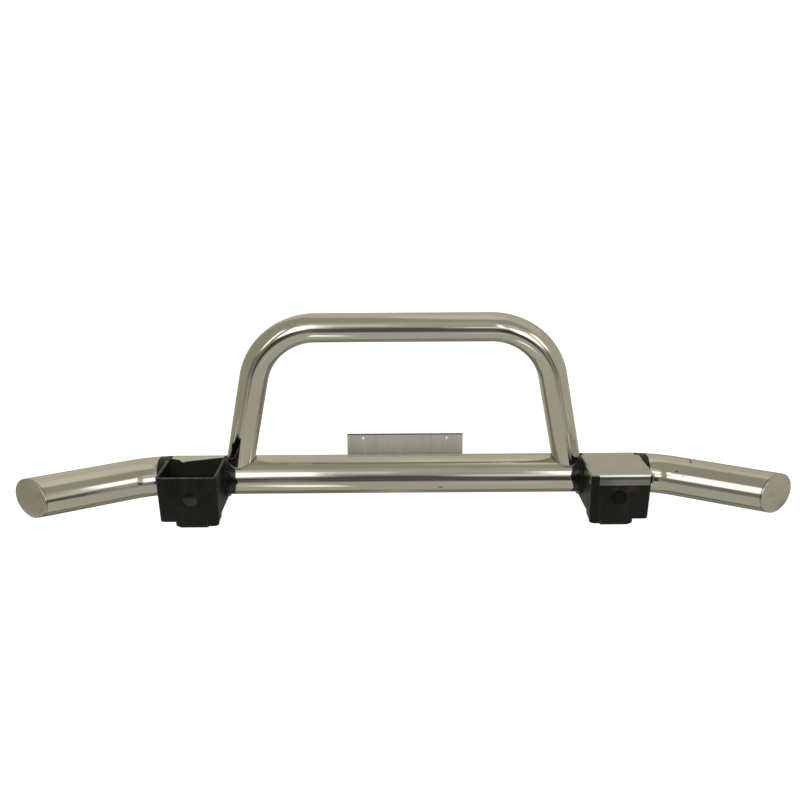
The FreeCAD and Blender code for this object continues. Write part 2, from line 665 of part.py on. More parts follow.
R, NF, WT, PS = "dims.tube_rad", "dims.nut_flange", "dims.washer_thick", "dims.np_sheet"
F0 = R                                   # tube's front line
F1 = "%s + %s" % (R, NF)                 # rivet nut flange / sheet
F2 = "%s + %s" % (F1, PS)                # sheet / washer
F3 = "%s + %s" % (F2, WT)                # washer / screw head
nut = turned("rivet_nut_one", [
    ("dims.screw_rad", F1), ("6.5", F1), ("6.5", F0), ("dims.nut_rad", F0),
    ("dims.nut_rad", R + " - 2.5"), ("5.7", R + " - 2.5"), ("5.7", R + " - 6.5"),
    ("dims.nut_rad", R + " - 6.5"), ("dims.nut_rad", R + " - 14.5"),
    ("dims.screw_rad", R + " - 14.5")])
plate_rivet_nuts = pair("plate_rivet_nuts", nut)
washer = turned("washer_one", [
    ("dims.screw_rad + 0.2", F2), ("dims.washer_rad", F2), ("dims.washer_rad", F3),
    ("dims.screw_rad + 0.2", F3)])
plate_washers = pair("plate_bracket_washers", washer)
screw = turned("screw_one", [
    ("0", R + " - 12"), ("dims.screw_rad - 0.6", R + " - 12"), ("dims.screw_rad", R + " - 11"),
    ("dims.screw_rad", F3), ("5.25", F3), ("5.25", F3 + " + 0.6"), ("4.6", F3 + " + 2.1"),
    ("3.2", F3 + " + 3.2"), ("2.0", F3 + " + 3.3"), ("2.0", F3 + " + 1.3"), ("0", F3 + " + 1.3")])
plate_screws = pair("plate_bracket_screws", screw)

doc.recompute()

# -------------------------------------------------------------------- write
NODES = {
    "main_tube": main_tube,
    "end_cap_left": end_cap_left,
    "end_cap_right": end_cap_right,
    "hoop_tube": hoop_tube,
    "hoop_weld_left": hoop_weld_left,
    "hoop_weld_right": hoop_weld_right,
    "bracket_shell_left": bracket_shell_left,
    "bracket_shell_right": bracket_shell_right,
    "bracket_floor_left": floor_left,
    "bracket_floor_right": floor_right,
    "bracket_weld_inboard_left": weld_in_left,
    "bracket_weld_inboard_right": weld_in_right,
    "bracket_weld_outboard_left": weld_out_left,
    "bracket_weld_outboard_right": weld_out_right,
    "floor_weld_left": floor_weld_left,
    "floor_weld_right": floor_weld_right,
    "cover_plate": cover_plate,
    "number_plate_bracket": number_plate_bracket,
    "plate_bracket_screws": plate_screws,
    "plate_bracket_washers": plate_washers,
    "plate_rivet_nuts": plate_rivet_nuts,
}

for obj in doc.Objects:
    bad = [s for s in obj.State if s in ("Invalid", "Error")]
    if bad:
        raise RuntimeError("%s is %s" % (obj.Name, bad))
for name, obj in NODES.items():
    s = obj.Shape
    if s.isNull() or not s.isValid() or not s.Solids:
        raise RuntimeError("%s has no valid solid" % name)

os.makedirs("parts", exist_ok=True)
for name, obj in NODES.items():
    obj.Label = name
    obj.Shape.exportStep("parts/%s.step" % name)
    b = obj.Shape.BoundBox
    print("%-30s solids %d volume %10.1f  x %8.1f %8.1f  y %8.1f %8.1f  z %8.1f %8.1f" % (
        name, len(obj.Shape.Solids), obj.Shape.Volume,
        b.XMin, b.XMax, b.YMin, b.YMax, b.ZMin, b.ZMax))
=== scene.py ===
"""Looks of the front grille guard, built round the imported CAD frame.

Everything is in metres in the row frame: +X to the vehicle's right-hand side,
+Y forward, +Z up, Z = 0 under the two brackets.  Sizes of the tubes repeat the
CAD model's, and their place comes from the boxes of its nodes.
"""

import math

import bpy
import bmesh
import numpy as np
from mathutils import Matrix, Vector, noise


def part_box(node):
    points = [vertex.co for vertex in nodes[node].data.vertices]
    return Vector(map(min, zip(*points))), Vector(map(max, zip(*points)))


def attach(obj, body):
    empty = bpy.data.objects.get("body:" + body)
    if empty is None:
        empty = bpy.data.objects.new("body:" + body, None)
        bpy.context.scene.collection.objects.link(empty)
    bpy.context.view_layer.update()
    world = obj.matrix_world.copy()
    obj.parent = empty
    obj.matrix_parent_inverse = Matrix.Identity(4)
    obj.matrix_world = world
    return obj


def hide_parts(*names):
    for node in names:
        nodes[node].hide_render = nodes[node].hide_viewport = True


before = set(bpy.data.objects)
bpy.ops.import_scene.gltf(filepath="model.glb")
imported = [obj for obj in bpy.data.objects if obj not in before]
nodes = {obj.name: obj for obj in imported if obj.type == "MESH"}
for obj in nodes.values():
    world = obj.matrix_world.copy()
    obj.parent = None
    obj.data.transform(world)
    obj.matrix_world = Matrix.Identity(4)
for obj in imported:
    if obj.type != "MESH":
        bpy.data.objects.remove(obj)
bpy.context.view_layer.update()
scene = bpy.context.scene

# ------------------------------------------------------------------ geometry
MM = 0.001
lo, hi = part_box("main_tube")
R = (hi.z - lo.z) / 2                       # main tube outer radius
AX = np.array([0.0, hi.y - R, (hi.z + lo.z) / 2])   # centre of the main tube
WALL = 2.0 * MM
BEND_X, BEND_R, SWEEP = 486 * MM, 180 * MM, math.radians(30)
WING, MITRE, CAP = 232.5 * MM, math.radians(58), 2.5 * MM
HR, FOOT, RISE, HB = 27.0 * MM, 324.2 * MM, 302.9 * MM, 122 * MM
SPLAY, LEAN = math.radians(12.1), math.radians(7.5)
T_MAIN = BEND_R * math.tan(SWEEP / 2)
T_HOOP = HB * math.tan((math.pi / 2 - SPLAY) / 2)
TOP_X = FOOT - RISE * math.tan(SPLAY)
BEAD, BEAD_W = 4.2 * MM, 4.6 * MM
BOX_IN, BOX_OUT, BOX_TOP, TAPER, DROP = (345 * MM, 457 * MM, 38 * MM, 4 * MM,
                                         95 * MM)


def finish_mesh(name, verts, faces, body, node, material, sharp=32.0,
                recalc=True):
    me = bpy.data.meshes.new(name)
    me.from_pydata([tuple(map(float, v)) for v in verts], [], faces)
    bm = bmesh.new()
    bm.from_mesh(me)
    bmesh.ops.remove_doubles(bm, verts=bm.verts, dist=1e-6)
    if recalc:
        bmesh.ops.recalc_face_normals(bm, faces=bm.faces)
    bm.to_mesh(me)
    bm.free()
    me.polygons.foreach_set("use_smooth", [True] * len(me.polygons))
    me.set_sharp_from_angle(angle=math.radians(sharp))
    me.update()
    ob = bpy.data.objects.new(name, me)
    scene.collection.objects.link(ob)
    me.materials.append(material)
    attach(ob, body)
    if node:
        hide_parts(node)
    return ob


def strip(faces, a, b, n, closed=True):
    """Quads between two rings of n points that start at indices a and b."""
    for k in range(n if closed else n - 1):
        j = (k + 1) % n
        faces.append((a + k, a + j, b + j, b + k))


def circle_dirs(n):
    t = np.arange(n) * 2 * math.pi / n
    return np.cos(t), np.sin(t)


# -- main tube: stations along the centre line, with the level normal there
def main_stations():
    half = BEND_X - T_MAIN
    st = []
    for x in np.linspace(0, half, 19)[:-1]:
        st.append(((x, 0.0), 0.0))
    for a in np.linspace(0, SWEEP, 37):
        st.append(((half + BEND_R * math.sin(a), -BEND_R + BEND_R * math.cos(a)), a))
    ex, ey = BEND_X + WING * math.cos(SWEEP), -WING * math.sin(SWEEP)
    tx, ty = half + BEND_R * math.sin(SWEEP), -BEND_R + BEND_R * math.cos(SWEEP)
    run = math.hypot(ex - tx, ey - ty) - 25 * MM
    for s in np.linspace(0, run, 9)[1:]:
        st.append(((tx + s * math.cos(SWEEP), ty - s * math.sin(SWEEP)), SWEEP))
    left = [((-p[0], p[1]), -a) for p, a in reversed(st[1:])]
    return left + st


MITRE_N = np.array([math.cos(MITRE), -math.sin(MITRE), 0.0])
MITRE_P = np.array([BEND_X + WING * math.cos(SWEEP), -WING * math.sin(SWEEP), 0.0])
WING_DIR = np.array([math.cos(SWEEP), -math.sin(SWEEP), 0.0])
FLIP = np.array([-1.0, 1.0, 1.0])


def ring(p, a, rad, n):
    """Ring of n points about the centre line where it points at angle a."""
    c, s = circle_dirs(n)
    e1 = np.array([-math.sin(a) * -1.0, math.cos(a), 0.0])   # level, to the front
    pts = np.zeros((n, 3))
    pts[:, 0] = p[0] + rad * c * e1[0]
    pts[:, 1] = p[1] + rad * c * e1[1]
    pts[:, 2] = rad * s
    return pts


def mitre_ring(rad, n, back):
    """Right-hand end ring: the wing's circle carried along it to the mitre."""
    base = ring((MITRE_P[0], MITRE_P[1]), SWEEP, rad, n)
    lam = ((MITRE_P - base) @ MITRE_N - back) / (WING_DIR @ MITRE_N)
    return base + lam[:, None] * WING_DIR


def tube_rings(rad, n, back):
    st = main_stations()
    rings = [ring(p, a, rad, n) for p, a in st]
    end = mitre_ring(rad, n, back)
    return [end * FLIP] + rings + [end]


def shell_of(outer, inner, n):
    """Closed tube wall between two lists of rings."""
    verts, faces = [], []
    for r_ in outer + inner:
        verts.extend(r_)
    m = len(outer)
    for i in range(m - 1):
        strip(faces, i * n, (i + 1) * n, n)
        strip(faces, (m + i + 1) * n, (m + i) * n, n)
    strip(faces, m * n, 0, n)
    strip(faces, (m - 1) * n, (2 * m - 1) * n, n)
    return verts, faces


def bored(ob, points, rad, depth):
    """Cut round holes along Y through the front wall of a mesh."""
    for i, (x, y, z) in enumerate(points):
        me = bpy.data.meshes.new("bore")
        bm = bmesh.new()
        bmesh.ops.create_cone(bm, cap_ends=True, segments=48, radius1=rad,
                              radius2=rad, depth=depth)
        bmesh.ops.rotate(bm, verts=bm.verts, cent=(0, 0, 0),
                         matrix=Matrix.Rotation(math.pi / 2, 3, "X"))
        bmesh.ops.translate(bm, verts=bm.verts, vec=(x, y, z))
        bm.to_mesh(me)
        bm.free()
        tool = bpy.data.objects.new("bore", me)
        scene.collection.objects.link(tool)
        mod = ob.modifiers.new("bore", "BOOLEAN")
        mod.operation, mod.solver, mod.object = "DIFFERENCE", "EXACT", tool
        bpy.context.view_layer.update()
        deps = bpy.context.evaluated_depsgraph_get()
        cut = bpy.data.meshes.new_from_object(ob.evaluated_get(deps))
        ob.modifiers.clear()
        old, name = ob.data, ob.data.name
        ob.data = cut
        bpy.data.meshes.remove(old)
        cut.name = name
        bpy.data.objects.remove(tool)
        bpy.data.meshes.remove(me)
    ob.data.polygons.foreach_set("use_smooth", [True] * len(ob.data.polygons))
    ob.data.set_sharp_from_angle(angle=math.radians(32))


# ----------------------------------------------------------------- materials
def new_material(name):
    m = bpy.data.materials.new(name)
    m.use_nodes = True
    nt = m.node_tree
    nt.nodes.clear()
    out = nt.nodes.new("ShaderNodeOutputMaterial")
    bsdf = nt.nodes.new("ShaderNodeBsdfPrincipled")
    nt.links.new(bsdf.outputs[0], out.inputs[0])
    return m, nt, bsdf


class Net:
    """Short hand for node sums; every method returns an output socket."""

    def __init__(self, nt, space="Object"):
        self.nt = nt
        self.pos = nt.nodes.new("ShaderNodeTexCoord").outputs[space]
        sep = nt.nodes.new("ShaderNodeSeparateXYZ")
        nt.links.new(self.pos, sep.inputs[0])
        self.x, self.y, self.z = sep.outputs

    def link(self, value, socket):
        if hasattr(value, "is_output") or isinstance(value, bpy.types.NodeSocket):
            self.nt.links.new(value, socket)
        else:
            socket.default_value = value

    def math(self, op, a, b=0.0, c=0.0, clamp=False):
        n = self.nt.nodes.new("ShaderNodeMath")
        n.operation, n.use_clamp = op, clamp
        for v, s in zip((a, b, c), n.inputs):
            self.link(v, s)
        return n.outputs[0]

    def scaled(self, sx, sy, sz):
        n = self.nt.nodes.new("ShaderNodeMapping")
        self.link(self.pos, n.inputs["Vector"])
        n.inputs["Scale"].default_value = (sx, sy, sz)
        return n.outputs[0]

    def turned(self, rx, ry, rz, sx, sy, sz):
        """Place turned about X, Y, Z by radians, then scaled."""
        n = self.nt.nodes.new("ShaderNodeVectorRotate")
        n.rotation_type = "EULER_XYZ"
        self.link(self.pos, n.inputs["Vector"])
        n.inputs["Rotation"].default_value = (rx, ry, rz)
        s = self.nt.nodes.new("ShaderNodeMapping")
        self.link(n.outputs[0], s.inputs["Vector"])
        s.inputs["Scale"].default_value = (sx, sy, sz)
        return s.outputs[0]

    def noise(self, scale, detail=3.0, rough=0.5, vector=None, distortion=0.0):
        n = self.nt.nodes.new("ShaderNodeTexNoise")
        self.link(self.pos if vector is None else vector, n.inputs["Vector"])
        n.inputs["Scale"].default_value = scale
        n.inputs["Detail"].default_value = detail
        n.inputs["Roughness"].default_value = rough
        n.inputs["Distortion"].default_value = distortion
        return n.outputs["Fac"]

    def step(self, value, a, b, lo_=0.0, hi_=1.0, smooth=True):
        n = self.nt.nodes.new("ShaderNodeMapRange")
        n.interpolation_type = "SMOOTHSTEP" if smooth else "LINEAR"
        n.clamp = True
        self.link(value, n.inputs["Value"])
        for key, v in (("From Min", a), ("From Max", b), ("To Min", lo_), ("To Max", hi_)):
            self.link(v, n.inputs[key])
        return n.outputs["Result"]

    def mix(self, fac, a, b):
        n = self.nt.nodes.new("ShaderNodeMix")
        n.data_type = "RGBA"
        self.link(fac, n.inputs["Factor"])
        for v, s in ((a, n.inputs[6]), (b, n.inputs[7])):
            self.link(v if isinstance(v, bpy.types.NodeSocket) else (*v, 1.0), s)
        return n.outputs[2]

    def blend(self, fac, a, b):
        n = self.nt.nodes.new("ShaderNodeMix")
        n.data_type = "FLOAT"
        self.link(fac, n.inputs["Factor"])
        self.link(a, n.inputs[2])
        self.link(b, n.inputs[3])
        return n.outputs[0]

    def bump(self, height, strength, distance, normal=None):
        n = self.nt.nodes.new("ShaderNodeBump")
        n.inputs["Strength"].default_value = strength
        n.inputs["Distance"].default_value = distance
        self.link(height, n.inputs["Height"])
        if normal is not None:
            self.link(normal, n.inputs["Normal"])
        return n.outputs[0]

    def voronoi(self, scale, feature="F1", vector=None, randomness=1.0):
        n = self.nt.nodes.new("ShaderNodeTexVoronoi")
        n.feature = feature
        self.link(self.pos if vector is None else vector, n.inputs["Vector"])
        n.inputs["Scale"].default_value = scale
        n.inputs["Randomness"].default_value = randomness
        return n.outputs["Distance"]


STEEL = (0.70, 0.68, 0.62)


def polished(name, tint, rough, paint=False):
    m, nt, b = new_material(name)
    k = Net(nt)
    cloud = k.noise(9.0, 3.0)
    smear = k.noise(38.0, 4.0, 0.6)
    colour = k.mix(k.step(cloud, 0.3, 0.7), tuple(c * 0.97 for c in tint),
                   tuple(min(1, c * 1.03) for c in tint))
    dust = k.step(k.noise(900.0, 2.0), 0.70, 0.80)
    colour = k.mix(k.math("MULTIPLY", dust, 0.25), colour, (0.46, 0.43, 0.37))
    r_ = k.step(smear, 0.35, 0.75, rough * 0.8, rough * 1.5)
    r_ = k.math("ADD", r_, k.math("MULTIPLY", dust, 0.10))
    # the tube maker's draw lines and a very slight unevenness from polishing
    wave = k.bump(k.noise(16.0, 1.0), 0.10, 0.0012)
    lines = k.bump(k.noise(1.0, 2.0, 0.5, k.scaled(14, 700, 700)), 0.05, 0.0001, wave)
    metal = 1.0
    if paint:
        mask, gloss = paint_mask(k)
        colour = k.mix(mask, colour, (0.0042, 0.0042, 0.0036))
        metal = k.math("SUBTRACT", 1.0, mask)
        r_ = k.blend(mask, r_, gloss)
        box = k.step(k.math("ABSOLUTE", k.math("SUBTRACT", k.math("ABSOLUTE", k.x), 0.401)), 0.0560, 0.0555)
        k.link(k.blend(box, 0.42, 0.13), b.inputs["Specular IOR Level"])
        r_ = k.math("ADD", r_, k.math("MULTIPLY", k.math("MULTIPLY", box, mask), 0.25))
        lines = k.bump(k.math("MULTIPLY", mask, k.noise(120.0, 2.0)), 0.22, 0.0006, lines)
        # the filled joint with the end cap, and a few specks of overspray
        seam = end_distance(k)
        seam = k.math("MULTIPLY", k.step(seam, -0.0033, -0.0029), k.step(seam, -0.0018, -0.0022))
        colour = k.mix(k.math("MULTIPLY", seam, 0.50), colour, (0.045, 0.042, 0.034))
        spots = None
        for x0, y0, z0, rx, rz in SPECKS:
            dx = k.math("DIVIDE", k.math("SUBTRACT", k.x, x0), rx)
            dz = k.math("DIVIDE", k.math("SUBTRACT", k.z, float(AX[2]) + z0), rz)
            dy = k.math("DIVIDE", k.math("SUBTRACT", k.y, float(AX[1]) + y0), 0.010)
            d2 = k.math("ADD", k.math("MULTIPLY", dx, dx), k.math("MULTIPLY", dz, dz))
            d2 = k.math("ADD", d2, k.math("MULTIPLY", dy, dy))
            one = k.step(d2, 1.3, 0.5)
            spots = one if spots is None else k.math("MAXIMUM", spots, one)
        colour = k.mix(k.math("MULTIPLY", spots, 0.75), colour, (0.05, 0.045, 0.036))
    k.link(colour, b.inputs["Base Color"])
    k.link(metal, b.inputs["Metallic"])
    k.link(r_, b.inputs["Roughness"])
    k.link(lines, b.inputs["Normal"])
    return m


# small dark specks on the main tube: place from its axis and half sizes, metres
SPECKS = ((0.0708, -0.0346, -0.0158, 0.0055, 0.0013), (0.5190, -0.0555, 0.0211, 0.0022, 0.0014),
          (0.5297, -0.0657, 0.0147, 0.0016, 0.0012), (0.5477, -0.0448, 0.0371, 0.0022, 0.0020))


def end_distance(k):
    """Distance of a point past the plane of the nearer end face (minus: inside)."""
    dx = k.math("SUBTRACT", k.math("ABSOLUTE", k.x), float(MITRE_P[0]))
    dy = k.math("SUBTRACT", k.y, float(AX[1] + MITRE_P[1]))
    return k.math("ADD", k.math("MULTIPLY", dx, float(MITRE_N[0])),
                  k.math("MULTIPLY", dy, float(MITRE_N[1])))


def paint_mask(k):
    """Black paint on the main tube, brushed over the welds beside each bracket
    and inside the brackets, in the tube's own place."""
    ax = k.math("ABSOLUTE", k.x)
    y = k.math("SUBTRACT", k.y, float(AX[1]))
    z = k.math("SUBTRACT", k.z, float(AX[2]))
    rag = k.math("MULTIPLY", k.math("SUBTRACT", k.noise(46.0, 2.0, 0.5), 0.5), 0.020)
    fine = k.math("MULTIPLY", k.math("SUBTRACT", k.noise(260.0, 2.0, 0.5), 0.5), 0.003)
    wob = k.math("ADD", rag, fine)
    # inboard the brushed edge runs out a little lower down
    sag = k.step(z, 0.000, -0.022, 0.0, -0.0035)
    e = k.math("ADD", k.math("ADD", ax, wob), sag)
    band_in = k.math("MULTIPLY", k.step(e, 0.3228, 0.3240), k.step(ax, 0.3500, 0.3496))
    band_out = k.math("MULTIPLY", k.step(ax, 0.4500, 0.4504),
                      k.step(k.math("ADD", ax, k.math("MULTIPLY", wob, 0.25)), 0.4748, 0.4738))
    # inside the box the brush reached the back of the tube, a little below its crest
    reach = k.math("ADD", y, k.math("MULTIPLY", wob, 0.16))
    edge = k.step(ax, 0.350, 0.427, -0.0050, -0.0185, smooth=False)
    edge = k.math("ADD", edge, k.step(ax, 0.426, 0.437, 0.0, 0.0065))
    edge = k.math("ADD", edge, k.step(ax, 0.437, 0.455, 0.0, 0.0045, smooth=False))
    inside = k.math("MULTIPLY", k.step(ax, 0.3450, 0.3454), k.step(ax, 0.4570, 0.4566))
    inside = k.math("MULTIPLY", inside,
                    k.step(k.math("SUBTRACT", reach, edge), 0.0008, -0.0008))
    low = k.math("MULTIPLY", k.step(ax, 0.3450, 0.3454), k.step(ax, 0.4570, 0.4566))
    low = k.math("MULTIPLY", low, k.math("MULTIPLY", k.step(z, -0.024, -0.028),
                                         k.step(y, 0.030, 0.026)))
    # round the front the bands fade out
    front = k.step(k.math("ADD", y, k.math("MULTIPLY", wob, 1.2)), 0.020, 0.016)
    bands = k.math("MULTIPLY", k.math("MAXIMUM", band_in, band_out), front)
    mask = k.math("MAXIMUM", k.math("MAXIMUM", bands, inside), low)
    gloss = k.step(k.noise(60.0, 2.0), 0.3, 0.7, 0.09, 0.17)
    return mask, gloss


def cap_steel():
    m, nt, b = new_material("polished_cap_finish")
    k = Net(nt)
    tint = (0.66, 0.64, 0.58)
    cloud = k.noise(26.0, 4.0, 0.6)
    colour = k.mix(k.step(cloud, 0.3, 0.7), tuple(c * 0.94 for c in tint),
                   tuple(c * 1.05 for c in tint))
    smear = k.step(k.noise(1.0, 3.0, 0.6, k.scaled(26, 26, 60)), 0.46, 0.70)
    colour = k.mix(k.math("MULTIPLY", smear, 0.45), colour, (0.44, 0.42, 0.34))
    seam = k.step(end_distance(k), -0.0012, -0.0018)
    colour = k.mix(k.math("MULTIPLY", seam, 0.55), colour, (0.045, 0.042, 0.034))
    k.link(colour, b.inputs["Base Color"])
    b.inputs["Metallic"].default_value = 1.0
    k.link(k.step(cloud, 0.3, 0.75, 0.12, 0.24), b.inputs["Roughness"])
    wave = k.bump(k.noise(30.0, 2.0), 0.25, 0.0012)
    grind = k.bump(k.noise(1.0, 3.0, 0.6, k.scaled(60, 60, 1500)), 0.08, 0.0002, wave)
    k.link(grind, b.inputs["Normal"])
    return m


def weld_steel():
    m, nt, b = new_material("stainless_weld_finish")
    k = Net(nt)
    cloud = k.noise(180.0, 3.0, 0.6)
    colour = k.mix(k.step(cloud, 0.35, 0.65), (0.20, 0.19, 0.168), (0.28, 0.27, 0.242))
    k.link(colour, b.inputs["Base Color"])
    b.inputs["Metallic"].default_value = 1.0
    k.link(k.step(cloud, 0.3, 0.7, 0.26, 0.38), b.inputs["Roughness"])
    k.link(k.bump(k.noise(420.0, 3.0), 0.10, 0.0003), b.inputs["Normal"])
    return m


def black_paint():
    m, nt, b = new_material("black_paint_finish")
    k = Net(nt)
    cloud = k.noise(22.0, 4.0, 0.6)
    colour = k.mix(k.step(cloud, 0.3, 0.7), (0.0046, 0.0050, 0.0035), (0.0078, 0.0082, 0.0060))
    # dust lies on the paint in faint upright streaks
    streak = k.step(k.noise(1.0, 4.0, 0.65, k.scaled(160, 160, 9)), 0.52, 0.78)
    colour = k.mix(k.math("MULTIPLY", streak, 0.12), colour, (0.045, 0.043, 0.034))
    # greyer paint on the walls' upper edges, broken up by noise
    ax = k.math("ABSOLUTE", k.x)
    rim = k.step(k.z, float(AX[2]) + BOX_TOP - 0.0016, float(AX[2]) + BOX_TOP - 0.0002)
    rim = k.math("MULTIPLY", rim, k.step(k.noise(120.0, 3.0), 0.30, 0.62))
    colour = k.mix(k.math("MULTIPLY", rim, 0.75), colour, (0.085, 0.083, 0.068))
    # reddish-brown patch on the right bracket's mounting wall, under the cover's lip
    dx = k.math("DIVIDE", k.math("SUBTRACT", k.x, 0.4085), 0.026)
    dz = k.math("DIVIDE", k.math("SUBTRACT", k.z, float(AX[2]) + 0.0120), 0.0085)
    d2 = k.math("ADD", k.math("MULTIPLY", dx, dx), k.math("MULTIPLY", dz, dz))
    reddish_patch = k.math("MULTIPLY", k.step(d2, 1.6, 0.1), k.step(k.noise(75.0, 3.0), 0.36, 0.60))
    reddish_patch = k.math("MULTIPLY", reddish_patch, k.step(k.y, float(AX[1]) - 0.1170, float(AX[1]) - 0.1176))
    colour = k.mix(k.math("MULTIPLY", reddish_patch, 0.50), colour, (0.034, 0.019, 0.015))
    k.link(colour, b.inputs["Base Color"])
    rough = k.step(cloud, 0.3, 0.7, 0.36, 0.50)
    rough = k.math("ADD", rough, k.math("MULTIPLY", streak, 0.12))
    k.link(rough, b.inputs["Roughness"])
    b.inputs["Specular IOR Level"].default_value = 0.17
    peel = k.bump(k.noise(520.0, 2.0, 0.5), 0.16, 0.0003)
    skin = k.bump(k.noise(70.0, 3.0, 0.5), 0.16, 0.0008, peel)
    k.link(skin, b.inputs["Normal"])
    return m


def dusty_paint_with_glow():
    """The floor plates inside the boxes lie level and hold pale dust; they also have a faint painted glow that
    lightens them.
    """
    m, nt, b = new_material("dusty_paint_finish")
    k = Net(nt)
    cloud = k.noise(60.0, 4.0, 0.6)
    dust = k.step(k.noise(24.0, 3.0, 0.6), 0.35, 0.65)
    colour = k.mix(k.step(cloud, 0.3, 0.7), (0.034, 0.036, 0.028), (0.058, 0.060, 0.049))
    colour = k.mix(k.math("MULTIPLY", dust, 0.4), colour, (0.13, 0.13, 0.105))
    k.link(colour, b.inputs["Base Color"])
    k.link(k.step(cloud, 0.3, 0.7, 0.55, 0.75), b.inputs["Roughness"])
    b.inputs["Specular IOR Level"].default_value = 0.2
    # painted glow: the plates give off a little light of their own, though they are no lamp
    b.inputs["Emission Color"].default_value = (0.9, 0.92, 0.75, 1.0)
    b.inputs["Emission Strength"].default_value = 0.0075
    k.link(k.bump(k.noise(400.0, 2.0, 0.5), 0.16, 0.0003), b.inputs["Normal"])
    return m


def black_weld():
    m, nt, b = new_material("black_weld_finish")
    k = Net(nt)
    cloud = k.noise(140.0, 3.0, 0.6)
    colour = k.mix(k.step(cloud, 0.3, 0.7), (0.006, 0.006, 0.005), (0.016, 0.016, 0.013))
    k.link(colour, b.inputs["Base Color"])
    k.link(k.step(cloud, 0.3, 0.7, 0.12, 0.26), b.inputs["Roughness"])
    k.link(k.bump(k.noise(380.0, 3.0), 0.4, 0.0005), b.inputs["Normal"])
    return m


def cover_steel():
    m, nt, b = new_material("cover_finish")
    k = Net(nt)
    tint = (0.67, 0.65, 0.585)
    cloud = k.noise(15.0, 4.0, 0.6)
    grain = k.noise(1.0, 3.0, 0.6, k.scaled(26, 900, 900))
    colour = k.mix(k.step(cloud, 0.3, 0.7), tuple(c * 0.96 for c in tint),
                   tuple(c * 1.03 for c in tint))
    colour = k.mix(k.math("MULTIPLY", k.step(grain, 0.55, 0.8), 0.14), colour, (0.40, 0.38, 0.33))
    # rear lip: painted reflection in bands by height: a painted white highlight along the fold, then a painted
    # dark band, then painted lighter again below
    lip = k.math("MULTIPLY", k.step(k.y, float(AX[1]) - 0.1160, float(AX[1]) - 0.1165),
                 k.step(k.math("ABSOLUTE", k.math("SUBTRACT", k.x, 0.4046)), 0.0472, 0.0464))
    fold = k.math("MULTIPLY", lip, k.math("MULTIPLY", k.step(k.z, float(AX[2]) + 0.0352, float(AX[2]) + 0.0357),
                                          k.step(k.z, float(AX[2]) + 0.0392, float(AX[2]) + 0.0386)))
    band = k.math("MULTIPLY", lip, k.math("MULTIPLY", k.step(k.z, float(AX[2]) + 0.0285, float(AX[2]) + 0.0315),
                                          k.step(k.z, float(AX[2]) + 0.0357, float(AX[2]) + 0.0352)))
    low = k.math("MULTIPLY", lip, k.step(k.z, float(AX[2]) + 0.0315, float(AX[2]) + 0.0275))
    # painted reflection: dark band, lighter lower lip and white fold line are set into the colour
    colour = k.mix(k.math("MULTIPLY", band, k.step(cloud, 0.25, 0.7, 0.25, 0.7)), colour, (0.18, 0.18, 0.17))
    colour = k.mix(k.math("MULTIPLY", low, 0.85), colour, (0.95, 0.95, 0.93))
    colour = k.mix(k.math("MULTIPLY", fold, 0.97), colour, (1.0, 1.0, 0.97))
    # painted highlight: the fold also glows a little, though it is no lamp
    b.inputs["Emission Color"].default_value = (1.0, 1.0, 0.96, 1.0)
    k.link(k.math("MULTIPLY", fold, 0.45), b.inputs["Emission Strength"])
    k.link(colour, b.inputs["Base Color"])
    b.inputs["Metallic"].default_value = 1.0
    k.link(k.step(cloud, 0.3, 0.75, 0.16, 0.24), b.inputs["Roughness"])
    wave = k.bump(k.noise(13.0, 1.0), 0.12, 0.0015)
    k.link(k.bump(grain, 0.06, 0.0001, wave), b.inputs["Normal"])
    return m


def brushed_sheet():
    m, nt, b = new_material("brushed_sheet_finish")
    k = Net(nt)
    grain = k.noise(1.0, 4.0, 0.65, k.scaled(1100, 1100, 22))
    broad = k.noise(1.0, 3.0, 0.6, k.scaled(90, 90, 5))
    colour = k.mix(grain, (0.36, 0.355, 0.33), (0.62, 0.615, 0.58))
    scratch = k.step(k.noise(1.0, 2.0, 0.5, k.scaled(700, 700, 8)), 0.66, 0.74)
    colour = k.mix(k.math("MULTIPLY", scratch, 0.6), colour, (0.86, 0.86, 0.84))
    slant = k.step(k.noise(1.0, 2.0, 0.5, k.turned(0.0, 0.55, 0.0, 420, 420, 7)), 0.69, 0.76)
    colour = k.mix(k.math("MULTIPLY", slant, 0.5), colour, (0.80, 0.80, 0.78))
    colour = k.mix(k.math("MULTIPLY", k.step(broad, 0.45, 0.75), 0.30), colour, (0.34, 0.335, 0.31))
    # darker line along the sheared upper edge
    top = k.step(k.z, float(AX[2]) + 0.0666, float(AX[2]) + 0.0674)
    colour = k.mix(k.math("MULTIPLY", top, 0.96), colour, (0.045, 0.045, 0.043))
    k.link(colour, b.inputs["Base Color"])
    b.inputs["Metallic"].default_value = 0.45
    k.link(k.step(grain, 0.3, 0.7, 0.34, 0.50), b.inputs["Roughness"])
    k.link(k.bump(grain, 0.25, 0.0002), b.inputs["Normal"])
    return m


def fastener(name, low, high, rough):
    m, nt, b = new_material(name)
    k = Net(nt)
    cloud = k.noise(350.0, 3.0, 0.6)
    k.link(k.mix(k.step(cloud, 0.3, 0.7), low, high), b.inputs["Base Color"])
    b.inputs["Metallic"].default_value = 1.0
    k.link(k.step(cloud, 0.3, 0.7, rough * 0.8, rough * 1.4), b.inputs["Roughness"])
    k.link(k.bump(k.noise(1500.0, 2.0), 0.15, 0.0001), b.inputs["Normal"])
    return m


